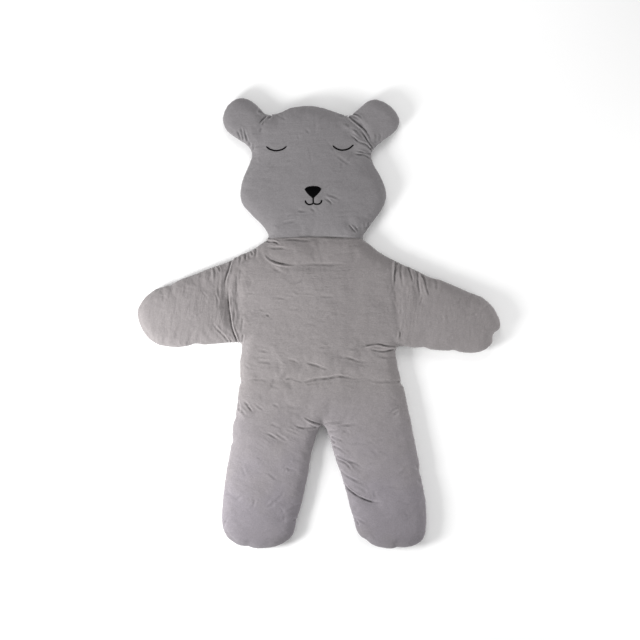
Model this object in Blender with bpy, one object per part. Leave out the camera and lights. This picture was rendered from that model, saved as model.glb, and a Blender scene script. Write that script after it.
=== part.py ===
"""Bear shaped padded rug for a child's room, lying face up on the floor.

Two filled cloth sections, a head with its ears and a body with its arms and legs, meet at the
neck seam. The nose, the mouth and the two closed eyes are embroidered on the head.
The head points along +Y, the face looks along +Z, and the floor is z = 0.
All sizes are in millimetres until a mesh is made. Left and right are as seen from above.
"""

import math

import bmesh
import bpy
import numpy as np
from mathutils import Vector
from mathutils.bvhtree import BVHTree
from mathutils.geometry import delaunay_2d_cdt, interpolate_bezier

MM = 0.001

# Driving dimensions
SEAM_HEIGHT = 24.0  # height of the rim seam, where the upper and under cloth meet
FILL_HEIGHT = 49.0  # height of the upper cloth where the filling is evenly spread
UPPER_ROUNDING = 58.0  # how far in from the rim seam the upper cloth takes to rise
UNDER_ROUNDING = 40.0  # how far in from the rim seam the under cloth takes to reach the floor
NECK_GAP = 0.3  # between the head section and the body section
THREAD_GAP = 0.4  # between the cloth and an embroidered piece
THREAD_HEIGHT = 1.8  # how far the embroidery stands up at its middle

# Mesh sizes
RIM_STEP = 16.0
UPPER_STEP = 21.0
UNDER_STEP = 52.0
UPPER_RINGS = (
    # rows of points that follow the rim: distance from it, and one point in how many of its own
    (4, 1),
    (15, 1),
    (33, 1),
)
UNDER_RINGS = ((4, 1), (17, 1), (40, 2))
FOLD_STEP = 14.0
STITCH_STEP = 4.0
NEAREST = 7.0  # no two mesh points of the cloth's inner area are nearer than this
GRID_MARGIN = 0.45  # between the innermost ring and the grid, in steps of the grid
RING_CLEAR = 0.93  # a ring's point is kept if it clears every edge by this share of its distance

# Neck seam, from left to right
NECK_SEAM = ((-162, 281), (-10, 286), (142, 281))

# Head: its two edges, from the neck up to the ears
HEAD_ROWS = (
    # y, left x, right x
    (303, -170, 156),
    (330, -191, 175),
    (363, -224, 201),
    (393, -251, 219),
    (423, -260, 226),
    (456, -257, 220),
    (490, -247, 205),
    (523, -232, 186),
    (550, -222, 176),
    (573, -222, 179),
)
BROW = ((88, 691), (70, 697), (50, 704), (26, 712), (0, 719), (-30, 722), (-58, 721), (-90, 716),
        (-128, 700), (-150, 693), (-171, 692))
EARS = {
    # round each ear, from its right side over the top to its left side
    "right": ((197, 594), (217, 609), (238, 624), (257, 640), (267, 656), (270, 675), (266, 690),
              (257, 703), (244, 718), (229, 730), (210, 740), (190, 744), (171, 741), (153, 729),
              (133, 711), (118, 698), (105, 687)),
    "left": ((-186, 702), (-201, 720), (-220, 737), (-240, 747), (-260, 750), (-281, 742), (-302, 724),
             (-314, 702), (-319, 681), (-315, 660), (-305, 641), (-285, 624), (-264, 610), (-244, 598)),
}

# Arms: upper and lower edge, from the shoulder out to the hand
ARM_ROWS = {
    # x, upper y, lower y
    "left": ((-302, 202, -66), (-355, 183, -72), (-409, 162, -74), (-462, 142, -81), (-515, 120, -78)),
    "right": ((312, 180, -82), (366, 154, -88), (419, 137, -93), (472, 114, -98), (519, 94, -101)),
}
SHOULDERS = {"left": ((-222, 241), (-262, 224)), "right": ((205, 234), (259, 204))}
HAND_TIPS = {"left": (-604, 33), "right": (604, -1)}
ARMPITS = {"left": (-253, -65), "right": (263, -77)}

# Body and legs: the two outer edges, and the two inner edges of the legs
SIDE_ROWS = (
    # y, left x, right x
    (-91, -255, 257),
    (-131, -260, 261),
    (-178, -261, 272),
    (-231, -266, 288),
    (-284, -273, 298),
    (-338, -284, 310),
    (-391, -289, 320),
    (-445, -297, 331),
    (-498, -307, 340),
    (-551, -314, 349),
    (-605, -319, 358),
    (-658, -322, 360),
)
INNER_ROWS = (
    # y, left leg x, right leg x
    (-365, -3, 32),
    (-405, -16, 43),
    (-458, -28, 60),
    (-511, -36, 78),
    (-565, -48, 94),
    (-618, -60, 107),
    (-658, -74, 120),
)
CROTCH = (15, -340)
FOOT_TIPS = {"left": (-200, -750), "right": (239, -750)}
# How full the two corners of a hand (upper, lower) or foot (left, right) are: 2 is an ellipse, more is squarer
HAND_FULLNESS = {"left": (1.6, 1.75), "right": (1.6, 1.9)}
FOOT_FULLNESS = {"left": (2.3, 2.4), "right": (2.1, 3.3)}

# Small dents in the rim, where the seam puckers
NICKS = (
    # x, y, depth, half width
    (-495, 130, 4, 12),
    (-410, -76, 4, 16),
    (350, -88, 5, 12),
    (452, -98, 4, 16),
    (592, -42, 13, 17),
    (-263, -198, 4, 10),
    (279, -199, 4, 10),
    (-279, -313, 3, 12),
    (-288, -394, 3, 12),
    (-236, -747, 4, 14),
    (264, -748, 4, 12),
    (158, -727, 3, 14),
    (339, -497, 3, 14),
)

# Where the filling lies thicker or thinner than FILL_HEIGHT
LUMPS = (
    # x, y, reach, rise
    (-20, 450, 190, 20),
    (-25, 610, 120, 8),
    (-5, 130, 170, 12),
    (5, -110, 210, 15),
    (-190, -90, 90, 4),
    (-440, 40, 120, 14),
    (450, 20, 120, 14),
    (-165, -420, 120, 12),
    (-205, -610, 105, 15),
    (190, -420, 120, 12),
    (240, -610, 105, 15),
    (-262, 60, 55, -8),
    (262, 70, 60, -6),
    (-10, 281, 60, -8),
    (15, -330, 70, -4),
)

# Troughs of the main folds, each a smooth line through its points
FOLDS = (
    # points, depth, half width
    (NECK_SEAM, 11, 12),
    (((-186, 248), (-152, 208), (-88, 193), (5, 195), (102, 194)), 5, 11),  # collar
    (((-280, 210), (-306, 130), (-301, 54), (-289, -8), (-265, -62)), 8, 11),  # left shoulder
    (((-266, 176), (-268, 76), (-258, -48)), 5, 10),
    (((255, 200), (256, 150), (260, 90), (268, 0), (266, -68)), 4, 10),  # right shoulder
    (((322, 158), (332, 106), (345, 49)), 6, 11),  # right sleeve
    (((132, -82), (182, -70), (247, -80)), 5, 10),  # waist
    (((63, -108), (114, -124), (174, -129)), 4, 10),
    (((-125, -124), (-35, -134), (39, -154)), 4, 10),
    (((-257, -194), (-188, -189), (-102, -189), (22, -183), (82, -176), (165, -186), (270, -194)),
     5, 11),  # hips
    (((-256, -259), (-235, -274), (-200, -299)), 4, 10),
    (((-90, -339), (-48, -348), (-2, -352)), 5, 10),  # crotch
    (((30, -336), (72, -330), (142, -327)), 5, 10),
    (((62, -443), (111, -467), (165, -487)), 5, 10),  # right leg
    (((93, -546), (142, -578), (216, -599)), 8, 11),
    (((103, 684), (146, 645), (172, 588)), 9, 11),  # right ear
    (((96, 571), (132, 566), (172, 556)), 4, 10),
    (((-162, 684), (-186, 662), (-197, 634)), 6, 10),  # left ear
    (((90, 348), (112, 324), (134, 298)), 5, 10),  # chin
)
FOLD_ROWS = (0.0, 0.75, 1.75)  # rows of mesh points beside a fold, in half widths
FOLD_LIP = 0.3  # height of the ridge on each side of a fold, as a share of its depth
LIP_PLACE = 1.9  # distance of that ridge from the fold, in half widths
FOLD_END = 0.3  # share of a fold's length over which it fades out at each end

# Embroidery
STROKE = 5.5  # width of an embroidered line
STROKE_END = 3  # points round each end of an embroidered line
EYES = {
    # left end, lowest point, right end
    "eye_left": ((-173, 585), (-140, 570), (-105, 584)),
    "eye_right": ((47, 588), (83, 573), (118, 592)),
}
NOSE = ((-18, 456), (-34, 453), (-45, 446), (-41, 435), (-30, 423), (-18, 415), (-6, 423), (5, 435),
        (9, 446), (-2, 453))
NOSE_RINGS = ((3, 1), (9, 1))
MOUTH_STEM = (-18, 398, 414)  # x, foot y, top y
MOUTH_SIDES = (
    # from the foot of the stem over the lowest point to the end
    ((-18, 398), (-32, 392), (-44, 407)),
    ((-18, 398), (-2, 392.5), (12, 407)),
)

MATERIALS = {
    # colour, roughness
    "cloth": ((0.265, 0.250, 0.248, 1.0), 0.95),
    "thread": ((0.010, 0.010, 0.012, 1.0), 0.6),
}


def clear_scene():
    for item in list(bpy.data.objects):
        bpy.data.objects.remove(item)


def make_material(name):
    colour, roughness = MATERIALS[name]
    material = bpy.data.materials.new(name)
    material.use_nodes = True
    shader = material.node_tree.nodes["Principled BSDF"]
    shader.inputs["Base Color"].default_value = colour
    shader.inputs["Roughness"].default_value = roughness
    shader.inputs["Metallic"].default_value = 0.0
    return material


def smooth_line(points, resolution=9):
    """A curve through all the points, with its handles along their neighbours' direction."""
    points = [Vector(p) for p in points]
    last = len(points) - 1
    tangents = []
    for i in range(len(points)):
        tangents.append((points[min(i + 1, last)] - points[max(i - 1, 0)]).normalized())
    line = [points[0]]
    for i in range(last):
        third = (points[i + 1] - points[i]).length / 3
        line += interpolate_bezier(
            points[i], points[i] + tangents[i] * third,
            points[i + 1] - tangents[i + 1] * third, points[i + 1], resolution)[1:]
    return np.array([tuple(p) for p in line], float)


def smooth_loop(points):
    """A closed curve through all the points; its last point repeats the first."""
    line = smooth_line([points[-1], *points, *points[:2]])
    between = (len(line) - 1) // (len(points) + 2)
    return line[between:-between]


def evenly(line, step):
    """The same line with its points evenly spaced, about a step apart."""
    along = np.concatenate([[0], np.cumsum(np.linalg.norm(np.diff(line, axis=0), axis=1))])
    count = max(2, round(along[-1] / step) + 1)
    at = np.linspace(0, along[-1], count)
    return np.stack([np.interp(at, along, line[:, k]) for k in range(2)], axis=1)


def curve_through(start, bend, end, count=17):
    """A single arc from start to end that passes over bend halfway."""
    start, bend, end = (np.array(p, float) for p in (start, bend, end))
    handle = 2 * bend - (start + end) / 2
    t = np.linspace(0, 1, count)[:, None]
    return (1 - t) ** 2 * start + 2 * t * (1 - t) * handle + t ** 2 * end


def round_arc(centre_x, centre_y, radius, first, last, count=9):
    angles = np.radians(np.linspace(first, last, count))
    return [(centre_x + radius * math.cos(a), centre_y + radius * math.sin(a)) for a in angles]


def round_end(first, tip, last, axis, fullness, steps=4):
    """The end of a limb, from its first edge over the tip to its last edge, between them only."""
    side = 1 - axis
    found = []
    turns = [k / steps for k in range(1, steps)]
    for base, way, full in ((first, turns[::-1], fullness[0]), (last, turns, fullness[1])):
        for turn in way:
            angle = turn * math.pi / 2
            point = [0.0, 0.0]
            point[axis] = base[axis] + (tip[axis] - base[axis]) * math.cos(angle) ** (2 / full)
            point[side] = tip[side] + (base[side] - tip[side]) * math.sin(angle) ** (2 / full)
            found.append(tuple(point))
        if base is first:
            found.append(tip)
    return found


def head_edge():
    """From the right end of the neck seam, over the ears and the brow, to its left end."""
    right = [(row[2], row[0]) for row in HEAD_ROWS]
    left = [(row[1], row[0]) for row in reversed(HEAD_ROWS)]
    crown = list(EARS["right"]) + list(BROW) + list(EARS["left"])
    return [NECK_SEAM[-1]] + right + crown + left + [NECK_SEAM[0]]


def arm_edge(side):
    """Along the upper edge of an arm, round the hand and back along the lower edge."""
    rows = ARM_ROWS[side]
    upper = [(x, top) for x, top, _ in rows]
    lower = [(x, under) for x, _, under in reversed(rows)]
    hand = round_end(upper[-1], HAND_TIPS[side], lower[0], 0, HAND_FULLNESS[side])
    return list(SHOULDERS[side]) + upper + hand + lower


def leg_edges():
    """Down the left side, round both feet by way of the crotch, and up the right side."""
    outer_left = [(row[1], row[0]) for row in SIDE_ROWS]
    inner_left = [(row[1], row[0]) for row in reversed(INNER_ROWS)]
    inner_right = [(row[2], row[0]) for row in INNER_ROWS]
    outer_right = [(row[2], row[0]) for row in reversed(SIDE_ROWS)]
    foot_left = round_end(outer_left[-1], FOOT_TIPS["left"], inner_left[0], 1, FOOT_FULLNESS["left"])
    foot_right = round_end(inner_right[-1], FOOT_TIPS["right"], outer_right[0], 1, FOOT_FULLNESS["right"])
    return outer_left + foot_left + inner_left + [CROTCH] + inner_right + foot_right + outer_right


def body_edge():
    """From the left end of the neck seam round to its right end, with a corner at each armpit."""
    left_arm = smooth_line([NECK_SEAM[0]] + arm_edge("left") + [ARMPITS["left"]])
    legs = smooth_line([ARMPITS["left"]] + leg_edges() + [ARMPITS["right"]])
    right_arm = smooth_line([ARMPITS["right"]] + arm_edge("right")[::-1] + [NECK_SEAM[-1]])
    return np.concatenate([evenly(left_arm, RIM_STEP), evenly(legs, RIM_STEP)[1:],
                           evenly(right_arm, RIM_STEP)[1:]])


def outward(line):
    """Unit directions pointing out of a line that runs anticlockwise."""
    along = np.gradient(line, axis=0)
    across = np.stack([along[:, 1], -along[:, 0]], axis=1)
    return across / np.linalg.norm(across, axis=1)[:, None]


def nicked(line):
    """The line with the seam's puckers pressed in; its two ends stay where they are."""
    depth = np.zeros(len(line))
    for x, y, deep, half_width in NICKS:
        away = np.linalg.norm(line - np.array([x, y], float), axis=1)
        depth += deep * np.exp(-((away / half_width) ** 2))
    depth[0] = depth[-1] = 0
    return line - outward(line) * depth[:, None]


def distances(points, line):
    """How far each point is from a line, and where along it the nearest place is, from 0 to 1."""
    a, b = line[:-1], line[1:]
    d = b - a
    lengths = np.linalg.norm(d, axis=1)
    starts = np.concatenate([[0], np.cumsum(lengths)[:-1]])
    t = ((points[:, None] - a) * d).sum(2) / np.maximum(lengths ** 2, 1e-9)
    t = np.clip(t, 0, 1)
    away = np.linalg.norm(points[:, None] - (a + t[..., None] * d), axis=2)
    nearest = away.argmin(1)
    rows = np.arange(len(points))
    place = (starts[nearest] + t[rows, nearest] * lengths[nearest]) / lengths.sum()
    return away[rows, nearest], place


def inside(points, loop):
    """Whether each point lies in a closed loop, by counting the edges to its right."""
    a, b = loop, np.roll(loop, -1, axis=0)
    x, y = points[:, :1], points[:, 1:]
    crosses = (a[:, 1] > y) != (b[:, 1] > y)
    rise = np.where(b[:, 1] == a[:, 1], 1, b[:, 1] - a[:, 1])
    at = a[:, 0] + (y - a[:, 1]) / rise * (b[:, 0] - a[:, 0])
    return ((crosses & (at > x)).sum(1) % 2) == 1


def dome(reach):
    """A quarter circle that rises from 0 at the edge to 1."""
    return np.sqrt(1 - (1 - np.clip(reach, 0, 1)) ** 2)


def fold_depth(points):
    """How far the folds press the upper cloth down, less where a fold's lips stand up."""
    total = np.zeros(len(points))
    for path, depth, half_width in FOLDS:
        away, place = distances(points, smooth_line(path))
        fade = np.clip(np.minimum(place, 1 - place) / FOLD_END, 0, 1)
        fade = fade * fade * (3 - 2 * fade)
        trough = np.exp(-((away / half_width) ** 2))
        lip = np.exp(-(((away - LIP_PLACE * half_width) / half_width) ** 2))
        total += depth * fade * (trough - FOLD_LIP * lip)
    return total


class Rug:
    """The whole rug's rim seam, and the heights of its upper and under cloth."""

    def __init__(self):
        self.head_line = nicked(evenly(smooth_line(head_edge()), RIM_STEP))
        self.body_line = nicked(body_edge())
        self.neck_line = evenly(smooth_line(NECK_SEAM), FOLD_STEP)
        self.rim = np.concatenate([self.head_line, self.body_line[1:]])
        low, high = self.rim.min(0), self.rim.max(0)
        self.centre = (low + high) / 2

    def upper(self, points):
        reach, _ = distances(points, self.rim)
        rise = dome(reach / UPPER_ROUNDING)
        filling = np.full(len(points), FILL_HEIGHT)
        for x, y, wide, high in LUMPS:
            away = np.linalg.norm(points - np.array([x, y], float), axis=1)
            filling += high * np.exp(-((away / wide) ** 2))
        return SEAM_HEIGHT + rise * (filling - SEAM_HEIGHT - fold_depth(points))

    def under(self, points):
        reach, _ = distances(points, self.rim)
        return SEAM_HEIGHT * (1 - dome(reach / UNDER_ROUNDING))


def hexagon_points(loop, step):
    """Points in even rows over the loop's box, every other row half a step along."""
    low, high = loop.min(0), loop.max(0)
    rows = np.arange(low[1], high[1], step * math.sqrt(3) / 2)
    found = []
    for number, y in enumerate(rows):
        xs = np.arange(low[0] + (number % 2) * step / 2, high[0], step)
        found.append(np.stack([xs, np.full(len(xs), y)], axis=1))
    return np.concatenate(found)


def thinned(points, near):
    """The points without those that lie nearer than that to one kept before them."""
    kept = np.empty((0, 2))
    for point in points:
        if not len(kept) or np.linalg.norm(kept - point, axis=1).min() >= near:
            kept = np.concatenate([kept, point[None]])
    return kept


def ring_points(loop, rings):
    """Rows of points inside a closed loop, each row at its own distance from the loop."""
    closed = np.concatenate([loop, loop[:1]])
    out = outward(np.concatenate([loop[-1:], closed]))[1:-1]
    found = []
    for ring, every in rings:
        moved = (loop - out * ring)[::every]
        away, _ = distances(moved, closed)
        found.append(moved[(away > RING_CLEAR * ring) & inside(moved, loop)])
    return np.concatenate(found)


def fold_points(loop):
    """Rows of points along each fold, so that the mesh follows it."""
    closed = np.concatenate([loop, loop[:1]])
    found = []
    for share in FOLD_ROWS:
        for path, _, half_width in FOLDS:
            line = evenly(smooth_line(path), FOLD_STEP)
            beside = outward(line) * share * half_width
            found += [line + beside, line - beside] if share else [line]
    found = np.concatenate(found)
    away, _ = distances(found, closed)
    return found[inside(found, loop) & (away > UPPER_RINGS[0][0])]


def sheet_faces(loop, inner):
    """Triangles over a closed loop and the points in it, as (points, triangles)."""
    points = [Vector(p) for p in np.concatenate([loop, inner])]
    made = delaunay_2d_cdt(points, [], [list(range(len(loop)))], 1, 1e-4)
    flat, faces, origins = made[0], made[2], made[3]
    first = [o[0] if o else -1 for o in origins]
    if len(flat) != len(points) or sorted(first) != list(range(len(points))):
        raise ValueError("the cloth's points fell together")
    return np.array([tuple(p) for p in points], float), [[first[v] for v in f] for f in faces]


def filled_solid(name, loop, upper_inner, under_inner, upper, under, centre):
    """A closed solid between an upper and an under sheet that share the outline loop."""
    built = bmesh.new()
    sheets = []
    for inner, height, flipped in ((upper_inner, upper, False), (under_inner, under, True)):
        flat, faces = sheet_faces(loop, inner)
        heights = height(flat)
        corners = [built.verts.new(((x - centre[0]) * MM, (y - centre[1]) * MM, z * MM))
                   for (x, y), z in zip(flat, heights)]
        for face in faces:
            built.faces.new([corners[v] for v in (reversed(face) if flipped else face)])
        sheets.append(corners)
    top, bottom = sheets
    for i in range(len(loop)):
        following = (i + 1) % len(loop)
        built.faces.new((bottom[i], bottom[following], top[following], top[i]))
    bmesh.ops.remove_doubles(built, verts=built.verts, dist=1e-6)
    bmesh.ops.triangulate(built, faces=built.faces)
    bmesh.ops.recalc_face_normals(built, faces=built.faces)
    mesh = bpy.data.meshes.new(name)
    built.to_mesh(mesh)
    built.free()
    return bpy.data.objects.new(name, mesh)


def inner_grid(loop, step, margin):
    """A hexagonal grid of points inside a loop, no nearer to it than the margin."""
    grid = hexagon_points(loop, step)
    grid = grid[inside(grid, loop)]
    away, _ = distances(grid, np.concatenate([loop, loop[:1]]))
    return grid[away > margin]


def section(rug, name, loop):
    """One filled section of the rug: its upper cloth, its under cloth and its neck face."""
    upper_grid = inner_grid(loop, UPPER_STEP, UPPER_RINGS[-1][0] + GRID_MARGIN * UPPER_STEP)
    under_grid = inner_grid(loop, UNDER_STEP, UNDER_RINGS[-1][0] + GRID_MARGIN * UNDER_STEP)
    upper_inner = [ring_points(loop, UPPER_RINGS), fold_points(loop), upper_grid]
    under_inner = [ring_points(loop, UNDER_RINGS), under_grid]
    upper_inner, under_inner = (
        thinned(np.concatenate(inner), NEAREST) for inner in (upper_inner, under_inner))
    return filled_solid(name, loop, upper_inner, under_inner, rug.upper, rug.under, rug.centre)


def make_sections(rug):
    """The head and the body, parted along the neck seam by NECK_GAP."""
    half_gap = np.array([0, NECK_GAP / 2])
    head_neck = rug.neck_line[1:-1] + half_gap
    body_neck = rug.neck_line[::-1][1:-1] - half_gap
    head_loop = np.concatenate([rug.head_line, head_neck])
    body_loop = np.concatenate([rug.body_line, body_neck])
    head_loop[[0, len(rug.head_line) - 1]] += half_gap
    body_loop[[0, len(rug.body_line) - 1]] -= half_gap
    return section(rug, "head", head_loop), section(rug, "body", body_loop)


def stroke_outline(line):
    """The outline of an embroidered stroke, anticlockwise, and round at both ends."""
    half = STROKE / 2
    beside = outward(line) * half
    ends = []
    for tip, before in ((line[-1], line[-2]), (line[0], line[1])):
        heading = math.degrees(math.atan2(*(tip - before)[::-1]))
        ends.append(round_arc(*tip, half, heading - 45, heading + 45, STROKE_END))
    return np.concatenate([line + beside, ends[0], (line - beside)[::-1], ends[1]])


def mouth_outline(left, right):
    """Both upturned sides of the mouth and the stem above them as one outline, anticlockwise."""
    half = STROKE / 2
    middle, foot, top = MOUTH_STEM
    sides = []
    for line in (right, left):
        edge = stroke_outline(line)[:-STROKE_END]
        sides.append(edge[abs(edge[:, 0] - middle) > 1.15 * half])
    stem = [(middle + half, top), (middle - half, top)]
    return np.concatenate([sides[0], stem, sides[1], [(middle, foot - half)]])


def embroidered(name, outline, inner, rounding, crown, centre):
    """A patch of thread that follows the head's upper cloth and is highest at its middle."""
    closed = np.concatenate([outline, outline[:1]])

    def cloth(points):
        heights = []
        for x, y in points:
            above = Vector(((x - centre[0]) * MM, (y - centre[1]) * MM, 1))
            heights.append(crown.ray_cast(above, Vector((0, 0, -1)))[0].z / MM)
        return np.array(heights) + THREAD_GAP

    def thread(points):
        away, _ = distances(points, closed)
        return cloth(points) + THREAD_HEIGHT * dome(away / rounding)

    return filled_solid(name, outline, inner, inner, thread, cloth, centre)


def make_face(rug, head):
    """The closed eyes, the nose and the mouth."""
    crown = BVHTree.FromObject(head, bpy.context.evaluated_depsgraph_get())
    made = []
    for name, arc in EYES.items():
        line = evenly(curve_through(*arc), STITCH_STEP)
        made.append(embroidered(name, stroke_outline(line), line, STROKE / 2, crown, rug.centre))
    nose = evenly(smooth_loop(NOSE), STITCH_STEP)[:-1]
    inner = thinned(ring_points(nose, NOSE_RINGS), STITCH_STEP / 2)
    made.append(embroidered("nose", nose, inner, NOSE_RINGS[-1][0], crown, rug.centre))
    left, right = (evenly(curve_through(*side), STITCH_STEP) for side in MOUTH_SIDES)
    middle, foot, top = MOUTH_STEM
    stem = [(middle, y) for y in np.arange(foot, top, STITCH_STEP)]
    inner = thinned(np.concatenate([stem, left, right]), STITCH_STEP / 2)
    mouth = mouth_outline(left, right)
    made.append(embroidered("mouth", mouth, inner, STROKE / 2, crown, rug.centre))
    return made


def finish(pieces, material_name, collection):
    """Give the pieces their material and smooth shading, and put them in the collection."""
    material = make_material(material_name)
    for piece in pieces:
        collection.objects.link(piece)
        piece.data.materials.append(material)
        piece.data.shade_smooth()


def main():
    clear_scene()
    collection = bpy.data.collections.new("bear_rug")
    bpy.context.scene.collection.children.link(collection)
    rug = Rug()
    sections = make_sections(rug)
    finish(sections, "cloth", collection)
    bpy.context.view_layer.update()
    finish(make_face(rug, sections[0]), "thread", collection)


main()
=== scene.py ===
import math

import bmesh
import bpy
import numpy as np
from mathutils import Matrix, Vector
from mathutils.bvhtree import BVHTree
from mathutils.geometry import interpolate_bezier
from mathutils.kdtree import KDTree


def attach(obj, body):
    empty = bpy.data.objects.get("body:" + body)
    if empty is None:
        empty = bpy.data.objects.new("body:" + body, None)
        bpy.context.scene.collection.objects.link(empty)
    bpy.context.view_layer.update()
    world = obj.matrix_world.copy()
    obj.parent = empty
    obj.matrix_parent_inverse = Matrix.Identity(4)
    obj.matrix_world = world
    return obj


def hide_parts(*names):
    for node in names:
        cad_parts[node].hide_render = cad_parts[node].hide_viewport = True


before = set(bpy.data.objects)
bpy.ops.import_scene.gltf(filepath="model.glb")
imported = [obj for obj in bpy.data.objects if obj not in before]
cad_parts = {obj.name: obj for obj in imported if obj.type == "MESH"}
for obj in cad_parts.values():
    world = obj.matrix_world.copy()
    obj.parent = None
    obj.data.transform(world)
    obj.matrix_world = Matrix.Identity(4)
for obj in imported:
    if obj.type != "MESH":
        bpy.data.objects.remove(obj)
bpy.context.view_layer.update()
print("frame loaded:", ", ".join(sorted(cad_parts)))

# Bear shaped padded rug, face up on the floor: head towards +Y, left and right as seen from above.
# Tables and dictionaries hold millimetres, and mm turns them into Blender's metres.
mm = 0.001
seamHeight = 24 * mm     # the rim seam, where the upper and the under cloth meet
scene = bpy.context.scene


# Reading and writing meshes as arrays

def readPoints(mesh):
    points = np.empty(len(mesh.vertices) * 3, np.float32)
    mesh.vertices.foreach_get("co", points)
    return points.reshape(-1, 3).astype(float)


def writePoints(mesh, points):
    mesh.vertices.foreach_set("co", points.astype(np.float32).ravel())
    mesh.update()


def readNormals(mesh):
    normals = np.empty(len(mesh.vertices) * 3, np.float32)
    mesh.vertex_normals.foreach_get("vector", normals)
    return normals.reshape(-1, 3).astype(float)


# a value or a vector of its own for each point, which materials and node trees can read
def giveValues(mesh, name, values):
    values = np.array(values, np.float32)
    kind, part = ("FLOAT", "value") if values.ndim == 1 else ("FLOAT_VECTOR", "vector")
    mesh.attributes.new(name, kind, "POINT").data.foreach_set(part, values.ravel())


def openForm(mesh):
    form = bmesh.new()
    form.from_mesh(mesh)
    return form


def closeForm(form, mesh):
    form.to_mesh(mesh)
    form.free()


def newPiece(name, mesh):
    piece = bpy.data.objects.new(name, mesh)
    scene.collection.objects.link(piece)
    return piece


# a node's mesh is loose triangles, so a copy is merged before anything is made from it
def mergedCopy(nodeName, pieceName):
    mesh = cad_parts[nodeName].data.copy()
    mesh.name = pieceName
    mesh.materials.clear()
    form = openForm(mesh)
    bmesh.ops.remove_doubles(form, verts=form.verts, dist=0.06 * mm)
    closeForm(form, mesh)
    return newPiece(pieceName, mesh)


def applyModifiers(piece):
    shown = piece.evaluated_get(bpy.context.evaluated_depsgraph_get())
    mesh = bpy.data.meshes.new_from_object(shown)
    old = piece.data
    piece.modifiers.clear()
    piece.data = mesh
    mesh.name = piece.name
    bpy.data.meshes.remove(old)


# a node with its settings; each input gets a value, or a link from another node's output
def addNode(tree, kind, inputs=None, **settings):
    node = tree.nodes.new(kind)
    for name, value in settings.items():
        setattr(node, name, value)
    for name, value in (inputs or {}).items():
        if isinstance(value, bpy.types.NodeSocket):
            tree.links.new(value, node.inputs[name])
        else:
            node.inputs[name].default_value = value
    return node


# Smooth lines through a few places

def smoothStep(value):
    value = np.clip(value, 0, 1)
    return value * value * (3 - 2 * value)


# 1 in the middle, 0.37 one half width away from it and soon nothing
def bell(value):
    return np.exp(-value ** 2)


# 0 before the start and 1 past the end
def ramp(value, start, end):
    return smoothStep((value - start) / (end - start))


# places in millimetres, the line in metres with a point about every step
def smoothLine(places, step=2.0):
    knots = [Vector(place).to_3d() * mm for place in places]
    line = []
    for index in range(len(knots) - 1):
        start, end = knots[index], knots[index + 1]
        before = knots[max(index - 1, 0)]
        after = knots[min(index + 2, len(knots) - 1)]
        reach = (end - start).length / 3
        leave = start + (end - before).normalized() * reach
        arrive = end - (after - start).normalized() * reach
        count = max(3, int(reach * 3 / (step * mm)) + 1)
        line += interpolate_bezier(start, leave, arrive, end, count)[:-1]
    line.append(knots[-1])
    return np.array([tuple(point) for point in line])


# which points lie in the line's frame, made larger by the reach
def aroundLine(points, line, reach):
    return np.all((points > line.min(0) - reach) & (points < line.max(0) + reach), axis=1)


def lengthsAlong(line):
    steps = np.linalg.norm(np.diff(line, axis=0), axis=1)
    return np.concatenate([[0], np.cumsum(steps)])


def evenLine(line, step):
    lengths = lengthsAlong(line)
    count = max(2, int(round(lengths[-1] / step)) + 1)
    marks = np.linspace(0, lengths[-1], count)
    return np.stack([np.interp(marks, lengths, line[:, axis]) for axis in range(line.shape[1])], axis=1)


# for points over a line: distance from it, signed to the left, and how far along the nearest place is
def besideLine(points, line):
    start = line[:-1, :2]
    run = line[1:, :2] - start
    span = (run ** 2).sum(1)
    lengths = lengthsAlong(line[:, :2])
    offset = points[:, None, :] - start[None]
    share = np.clip((offset * run).sum(2) / span, 0, 1)
    gap = offset - share[:, :, None] * run
    distance = (gap ** 2).sum(2)
    nearest = distance.argmin(1)
    row = np.arange(len(points))
    turn = run[nearest, 0] * offset[row, nearest, 1] - run[nearest, 1] * offset[row, nearest, 0]
    side = np.where(turn >= 0, 1.0, -1.0)
    along = lengths[nearest] + share[row, nearest] * np.sqrt(span[nearest])
    return side * np.sqrt(distance[row, nearest]), along


# The rim seam runs along the edges whose two faces look one up and one down

def rimLine(mesh):
    form = openForm(mesh)
    form.normal_update()
    nextTo = {}
    for edge in form.edges:
        level = all(abs(vert.co.z - seamHeight) < 0.1 * mm for vert in edge.verts)
        faces = [face.normal.z for face in edge.link_faces]
        if level and len(faces) == 2 and faces[0] * faces[1] < 0:
            first, second = edge.verts
            nextTo.setdefault(first.index, []).append(second.index)
            nextTo.setdefault(second.index, []).append(first.index)
    ends = [index for index, others in nextTo.items() if len(others) == 1]
    here, seen = min(ends), []
    while here is not None:
        seen.append(here)
        ahead = [index for index in nextTo[here] if index not in seen]
        here = ahead[0] if ahead else None
    form.verts.ensure_lookup_table()
    places = [tuple(form.verts[index].co / mm) for index in seen]
    form.free()
    return evenLine(smoothLine(places), 2 * mm)


# Neck seam, from left to right, where the head section meets the body section
neckSeam = {
    "places": ((-162, 281), (-10, 286), (142, 281)),
    "gap": 0.2,          # each section's wall stays this far from the seam's own line
    "depth": 2.6,
    "width": 2.8,
    "overlap": 8.0,
}
neckLine = smoothLine([(x, y, 0) for x, y in neckSeam["places"]])


def pastNeck(points):
    return points[:, 1] - np.interp(points[:, 0], neckLine[:, 0], neckLine[:, 1])


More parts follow.
